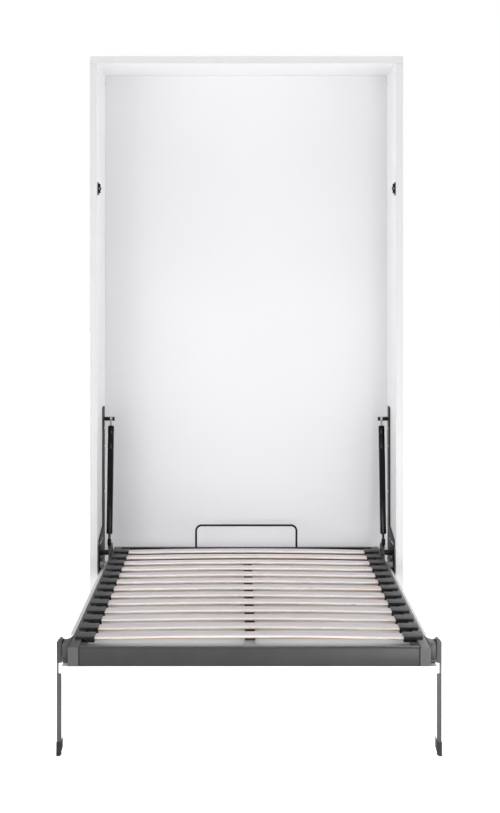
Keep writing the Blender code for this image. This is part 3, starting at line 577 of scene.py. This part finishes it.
# The lowest veneers are painted brown, more at the ends and here and there between: partly the
# wood's heart, and partly painted shade under the rounded lower edge and beside the holders.
heart = add(tree, "Mapping", {"Vector": layers, "Scale": (4.5, 30.0, 1.0)})
patches = add(tree, "TexNoise", {"Vector": heart.outputs["Vector"], "Scale": 1.0, "Detail": 3.0})
lowest_veneers_shade = add(
    tree, "MapRange",
    {
        "Value": height.outputs["Y"], "From Min": 0.0052, "From Max": 0.0008,
        "To Min": -0.25, "To Max": 0.42,
    },
)
slat_place = add(tree, "SeparateXYZ", {"Vector": where})
from_middle = add(tree, "Math", {0: slat_place.outputs["X"]}, operation="ABSOLUTE")
# Painted shade towards the ends, where the holders stand beside the slat.
painted_end_shade = add(
    tree, "MapRange",
    {
        "Value": from_middle.outputs[0], "From Min": 0.36, "From Max": 0.415,
        "To Min": 0.0, "To Max": 0.3,
    },
)
painted_shade_low_and_ends = add(
    tree, "Math", {0: lowest_veneers_shade.outputs["Result"], 1: painted_end_shade.outputs["Result"]}, operation="ADD"
)
heart_and_painted_shade = add(
    tree, "Math", {0: patches.outputs["Fac"], 1: painted_shade_low_and_ends.outputs[0]}, operation="ADD"
)
amount = add(
    tree, "MapRange",
    {"Value": heart_and_painted_shade.outputs[0], "From Min": 0.55, "From Max": 0.9, "To Min": 0.0, "To Max": 0.85},
)
heart_and_shade_colour = add(
    tree, "Mix", {"Factor": amount.outputs["Result"], 6: timber, 7: linear("#b98a63")},
    data_type="RGBA",
)
# A few small knots, darker than the heart.
spots = add(tree, "Mapping", {"Vector": layers, "Scale": (7.0, 90.0, 1.0)})
knots = add(tree, "TexVoronoi", {"Vector": spots.outputs["Vector"], "Scale": 1.0})
knot = add(
    tree, "MapRange",
    {
        "Value": knots.outputs["Distance"], "From Min": 0.03, "From Max": 0.09,
        "To Min": 0.8, "To Max": 0.0,
    },
)
edged = add(
    tree, "Mix", {"Factor": knot.outputs["Result"], 6: heart_and_shade_colour.outputs[2], 7: linear("#6b4a33")},
    data_type="RGBA",
)
tree.links.new(edged.outputs[2], shader.inputs["Base Color"])
grit(tree, shader, where, 0.0006, 0.00004, 0.4)

for number, slat in enumerate(slats):
    low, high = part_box(slat)
    thick = high.z - low.z - crown
    bm = bmesh.new()
    box(bm, low, (high.x, high.y, low.z + thick))
    long_edges = [e for e in bm.edges if abs(e.verts[1].co.x - e.verts[0].co.x) > 0.5]
    bmesh.ops.bevel(
        bm, geom=long_edges, offset=rounded, segments=5, profile=0.5, affect="EDGES", material=-1
    )
    for step in range(1, slat_steps):
        x = low.x + (high.x - low.x) * step / slat_steps
        bmesh.ops.bisect_plane(
            bm, geom=list(bm.verts) + list(bm.edges) + list(bm.faces),
            plane_co=(x, 0, 0), plane_no=(1, 0, 0),
        )
    uv = bm.loops.layers.uv.new("layers")
    bmesh.ops.recalc_face_normals(bm, faces=bm.faces)
    for face in bm.faces:
        face.material_index = 0 if abs(face.normal.z) > 0.97 else 1
        for loop in face.loops:
            loop[uv].uv = (loop.vert.co.x + veneer_shift * number, loop.vert.co.z - low.z)
    for vert in bm.verts:
        vert.co.z += crown * (1 - (vert.co.x / high.x) ** 2)
    new_piece(f"{slat}_laminate", bm, (slat_face, slat_edge), "bed", "slat_wood", slat)

# Slat holders: one moulded piece for each slat end, in black polypropylene. It laps the side rail,
# takes the slat in a sleeve, and its front and rear are cored out to keep the walls even.
holder_wall = 0.004
holder_fit = 0.0003
core_lip = 0.0016
core_draft = 0.0002
core_depth = 0.0022
holder_eased = 0.0009
# Moulded polypropylene: near black and smooth to a dull shine on its sides.
black_plastic, tree, shader, where = finish(
    "black_moulded_polypropylene", 0.42, Specular_IOR_Level=0.3
)
mottle(tree, shader, where, 0.02, "#0d0d0e", "#141415")
grit(tree, shader, where, 0.0011, 0.00008, 0.7)
# The same polypropylene with a coarse grain on top, coloured grey there as a painted sheen.
painted_sheen_top, tree, shader, where = finish("polypropylene_with_painted_sheen_top", 0.55)
mottle(tree, shader, where, 0.01, "#333335", "#3d3d3f")
grit(tree, shader, where, 0.0014, 0.00012, 0.9)
rail_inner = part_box("right_side_rail")[0].x
rail_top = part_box("right_side_rail")[1].z
for side, sign in (("left", -1), ("right", 1)):
    low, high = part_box(f"{side}_slat_holders")
    inboard = min(abs(low.x), abs(high.x))
    lap = max(abs(low.x), abs(high.x))
    beside, above = rail_inner - holder_fit, rail_top + holder_fit
    outline = (
        (inboard, low.z), (beside, low.z), (beside, above), (lap, above), (lap, high.z),
        (inboard, high.z),
    )
    for number, slat in enumerate(slats, 1):
        slat_low, slat_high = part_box(slat)
        start, end = slat_low.y - holder_wall, slat_high.y + holder_wall
        bm = bmesh.new()
        face = bm.faces.new([bm.verts.new((sign * x, start, z)) for x, z in outline])
        swept = bmesh.ops.extrude_face_region(bm, geom=[face])["geom"]
        bmesh.ops.translate(
            bm, verts=[v for v in swept if isinstance(v, bmesh.types.BMVert)],
            vec=(0, end - start, 0),
        )
        bmesh.ops.recalc_face_normals(bm, faces=bm.faces)
        caps = [f for f in bm.faces if abs(f.normal.y) > 0.9]
        for thickness, depth in ((core_lip, 0), (core_draft, -core_depth)):
            bmesh.ops.inset_region(
                bm, faces=caps, thickness=thickness, depth=depth, use_even_offset=True
            )
        outer = [
            e for e in bm.edges if e.is_manifold and e.calc_face_angle(0) > 0.6
            and all(abs(v.co.z - high.z) < 1e-5 or abs(v.co.x) > lap - 1e-5 for v in e.verts)
        ]
        bmesh.ops.bevel(
            bm, geom=outer, offset=holder_eased, segments=2, profile=0.5, affect="EDGES",
            material=-1,
        )
        bm.normal_update()
        for face in bm.faces:
            # Faces that point up take the grey top colour, the painted sheen.
            face.material_index = int(face.normal.z > 0.9)
        name = f"{side}_slat_holder_{number:02}"
        new_piece(name, bm, (black_plastic, painted_sheen_top), "bed", "dark_plastic")

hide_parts("left_slat_holders")
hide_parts("right_slat_holders")

# Hinge arms and lower studs: the plates on the side rails that turn on the pivot bolts, coated
# with the frame, and the blackened studs that the struts push on.
for side in ("left", "right"):
    dress(f"{side}_hinge_arm", anthracite)
    dress(f"{side}_lower_stud", black_steel)

# Mattress loop: 7.5 mm steel bar bent cold to a wide bow, painted black, welded to the head rail.
# It keeps the mattress from sliding into the cabinet.
loop_bend = 0.020


def bent_bar(points, radius, sides=16):
    """A round bar through a list of points, its ends closed."""
    bm = bmesh.new()
    rings = []
    for i, point in enumerate(points):
        ahead = points[min(i + 1, len(points) - 1)] - points[max(i - 1, 0)]
        turn = ahead.to_track_quat("Z", "Y").to_matrix().to_4x4()
        circle = bmesh.ops.create_circle(
            bm, cap_ends=i in (0, len(points) - 1), segments=sides, radius=radius,
            matrix=Matrix.Translation(point) @ turn,
        )
        rings.append(circle["verts"])
    for one, other in zip(rings, rings[1:]):
        edges = [
            e for e in bm.edges if any(all(v in ring for v in e.verts) for ring in (one, other))
        ]
        bmesh.ops.bridge_loops(bm, edges=edges)
    return bm


def bow(width, height, bend, steps=10):
    """Points of a bow in its own plane: up, round a bend, across, round a bend and down."""
    half = width / 2
    points = [(-half, 0)]
    for k in range(steps + 1):
        angle = pi - k * pi / 2 / steps
        points.append((-half + bend + bend * cos(angle), height - bend + bend * sin(angle)))
    return points + [(-x, y) for x, y in reversed(points)]


# Dipped black paint: smoother than the powder coats, with a soft line of light along the bar.
black_bar, tree, shader, where = finish("black_painted_bar", 0.4, Specular_IOR_Level=0.25)
mottle(tree, shader, where, 0.03, "#0b0b0c", "#121213")
grit(tree, shader, where, 0.0012, 0.00004, 0.5)
low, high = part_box("mattress_loop")
radius = (high.y - low.y) / 2
line = [
    Vector((x, (low.y + high.y) / 2, low.z + z))
    for x, z in bow(high.x - low.x - 2 * radius, high.z - low.z - radius, loop_bend)
]
loop = bent_bar(line, radius)
new_piece("mattress_loop_bar", loop, black_bar, "bed", "black_steel", "mattress_loop")

# Front panel: the white board that closes the cabinet when the bed is up, screwed under the frame,
# and its bow handle of 10 mm steel bar.
handle_radius = 0.005
# Melamine again, from another batch: a shade greyer and less glossy than the cabinet.
front_board, tree, shader, where = finish("white_melamine_front", 0.4, Specular_IOR_Level=0.4)
mottle(tree, shader, where, 0.9, "#ebebec", "#eeeeef")
grit(tree, shader, where, 0.0025, 0.00003, 0.5)
dress("front_panel", front_board, eased_board)
# Brushed steel: a pale, even metal with a soft reflection.
brushed, tree, shader, where = finish("brushed_steel", 0.3, 1.0)
mottle(tree, shader, where, 0.004, "#b4b5b7", "#c6c7c9", 0.5)
low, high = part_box("pull_handle")
line = [
    Vector((x, (low.y + high.y) / 2, high.z - z))
    for x, z in bow(
        high.x - low.x - 2 * handle_radius, high.z - low.z - handle_radius, 3 * handle_radius
    )
]
handle = bent_bar(line, handle_radius)
new_piece("pull_handle_bar", handle, brushed, "bed", "plated_steel", "pull_handle")

# Gas struts: a gloss black cylinder with two rolled crimps near its closed end, a plated eye at the
# top, and a dark nitrided rod that ends in a ball socket.
# Barrel, neck and rod are given by their radii, and places along the strut from its upper stud.
barrel, barrel_start, barrel_end = 0.011, 0.026, 0.416
crimps = (0.030, 0.085)
half_eye = 0.004
neck, neck_start, neck_sunk = 0.0034, 0.0075, 0.001
rod = 0.0045
rod_hidden = 0.010
rod_tip_gap = 0.008
# Gloss paint on drawn tube: near black, with one sharp line of light along it.
strut_black, tree, shader, where = finish(
    "gloss_black_strut_paint", 0.22, Specular_IOR_Level=0.2
)
mottle(tree, shader, where, 0.05, "#08080a", "#0e0e10")
grit(tree, shader, where, 0.002, 0.00002, 0.3)
# Nitrided and ground steel: a dark grey metal with a smooth, tight sheen.
nitrided, tree, shader, where = finish("nitrided_steel_rod", 0.25, 1.0)
mottle(tree, shader, where, 0.01, "#4a4a4c", "#58585b", 0.5)
tube_profile = [
    (barrel_start, 0), (barrel_start, barrel - 0.002), (barrel_start + 0.0012, barrel - 0.0006),
    (barrel_start + 0.003, barrel),
]
for crimp in crimps:
    at = barrel_start + crimp
    tube_profile += [
        (at - 0.0025, barrel), (at - 0.001, barrel - 0.0009), (at + 0.001, barrel - 0.0009),
        (at + 0.0025, barrel),
    ]
tube_profile += [
    (barrel_end - 0.003, barrel), (barrel_end - 0.001, barrel - 0.0008),
    (barrel_end, barrel - 0.0022), (barrel_end, 0.0052), (barrel_end - 0.004, 0.005),
    (barrel_end - 0.004, 0),
]
neck_end = barrel_start + neck_sunk
neck_profile = ((neck_start, 0), (neck_start, neck), (neck_end, neck), (neck_end, 0))
eye_profile = (
    (-half_eye, 0.0045), (-half_eye, 0.008), (-half_eye + 0.001, 0.009),
    (half_eye - 0.001, 0.009), (half_eye, 0.008), (half_eye, 0.0045), (-half_eye, 0.0045),
)
ball_profile = (
    (-half_eye, 0), (-half_eye, 0.0075), (-half_eye + 0.0015, 0.009),
    (half_eye - 0.0015, 0.009), (half_eye, 0.0075), (half_eye, 0),
)
joints = {j["name"]: j for j in frame["joints"]}
for side in ("left", "right"):
    top = Vector(joints[f"{side}_strut_swing"]["pos_m"])
    down = Vector(joints[f"{side}_rod_slide"]["axis"])
    along_strut = Matrix.Translation(top) @ down.to_track_quat("X", "Z").to_matrix().to_4x4()
    bm = bmesh.new()
    turned(bm, tube_profile, along_strut, 48)
    new_piece(
        f"{side}_strut_tube", bm, strut_black, f"{side}_strut", "strut_steel",
        f"{side}_strut_cylinder", f"{side}_strut_gland",
    )
    bm = bmesh.new()
    turned(bm, neck_profile, along_strut, 24)
    turned(bm, eye_profile, Matrix.Translation(top), 32)
    new_piece(f"{side}_strut_eye", bm, zinc, f"{side}_strut", "plated_steel")
    low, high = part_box(f"{side}_lower_stud")
    foot = Vector((top.x, (low.y + high.y) / 2, (low.z + high.z) / 2))
    length = (foot - top).length
    rod_start, rod_end = barrel_end - rod_hidden, length - rod_tip_gap
    bm = bmesh.new()
    turned(bm, ((rod_start, 0), (rod_start, rod), (rod_end, rod), (rod_end, 0)), along_strut, 28)
    new_piece(f"{side}_rod_bar", bm, nitrided, f"{side}_rod", "rod_steel", f"{side}_strut_rod")
    socket_profile = (
        (length - 0.030, 0.0046), (length - 0.030, 0.0062), (length - 0.028, 0.0068),
        (length - 0.010, 0.0068), (length - 0.006, 0.0046), (length - 0.030, 0.0046),
    )
    bm = bmesh.new()
    turned(bm, socket_profile, along_strut, 28)
    turned(bm, ball_profile, Matrix.Translation(foot), 32)
    new_piece(f"{side}_rod_socket", bm, black_steel, f"{side}_rod", "black_steel")

# Leg brackets, legs, pins and shoes: grey cast carriers that flare into the side rails, each with
# a groove above its sole, legs of angle steel that fold on shouldered pins, and black plastic shoes
# driven on to their ends. A black washer plate keeps each leg off its carrier.
washer = 0.0048
washer_fit = 0.0002
flare = 0.060
flare_steps = 8
sole, groove = 0.0085, 0.0018
lug_height = 0.046
washer_margin = 0.002
washer_below = 0.004
groove_back, groove_front = 0.002, 0.003
overlap = 0.001
carrier_eased = 0.0009
washer_eased = 0.0006
leg_eased = 0.0004
shoe_eased = 0.0006
# Dark grey powder coat over cast and rolled steel: satin, a shade lighter than the rails.
leg_coat, tree, shader, where = finish("dark_grey_powder_coat", 0.42, Specular_IOR_Level=0.35)
mottle(tree, shader, where, 0.05, "#404041", "#474748")
grit(tree, shader, where, 0.0012, 0.00006, 0.6)
for side, sign in (("left", -1), ("right", 1)):
    low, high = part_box(f"{side}_leg_bracket")
    near, far = min(abs(low.x), abs(high.x)), max(abs(low.x), abs(high.x)) - washer
    plan = [(near, low.y), (far, low.y), (far, high.y)]
    for step in range(1, flare_steps + 1):
        turn = step * pi / 2 / flare_steps
        plan.append((far - (far - near) * sin(turn), high.y + flare * (1 - cos(turn))))
    bm = bmesh.new()
    for foot, top in ((low.z, low.z + sole), (low.z + sole + groove, high.z)):
        face = bm.faces.new([bm.verts.new((sign * x, y, foot)) for x, y in plan])
        swept = bmesh.ops.extrude_face_region(bm, geom=[face])["geom"]
        bmesh.ops.translate(
            bm, verts=[v for v in swept if isinstance(v, bmesh.types.BMVert)],
            vec=(0, 0, top - foot),
        )
    bmesh.ops.recalc_face_normals(bm, faces=bm.faces)
    crisp = [e for e in bm.edges if e.is_manifold and e.calc_face_angle(0) > 1.0]
    bmesh.ops.bevel(
        bm, geom=crisp, offset=carrier_eased, segments=2, profile=0.5, affect="EDGES", material=-1
    )
    box(
        bm, (sign * near, low.y + groove_front, low.z + sole - overlap),
        (sign * (far - groove_back), high.y, low.z + sole + groove + overlap),
    )
    new_piece(f"{side}_leg_carrier", bm, leg_coat, "bed", "grey_steel", f"{side}_leg_bracket")
    leg_low, leg_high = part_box(f"{side}_leg")
    washer_foot = max(leg_high.z - lug_height, low.z - washer_below)
    bm = bmesh.new()
    box(
        bm, (sign * (far + washer_fit), leg_low.y + washer_margin, washer_foot),
        (
            sign * (far + washer - washer_fit), leg_high.y - washer_margin,
            leg_high.z - washer_below,
        ),
        washer_eased,
    )
    new_piece(f"{side}_leg_washer", bm, black_steel, "bed", "dark_plastic")
    dress(f"{side}_leg", leg_coat, leg_eased, 1)
    dress(f"{side}_leg_pin", zinc)
    dress(f"{side}_leg_shoe", black_plastic, shoe_eased)
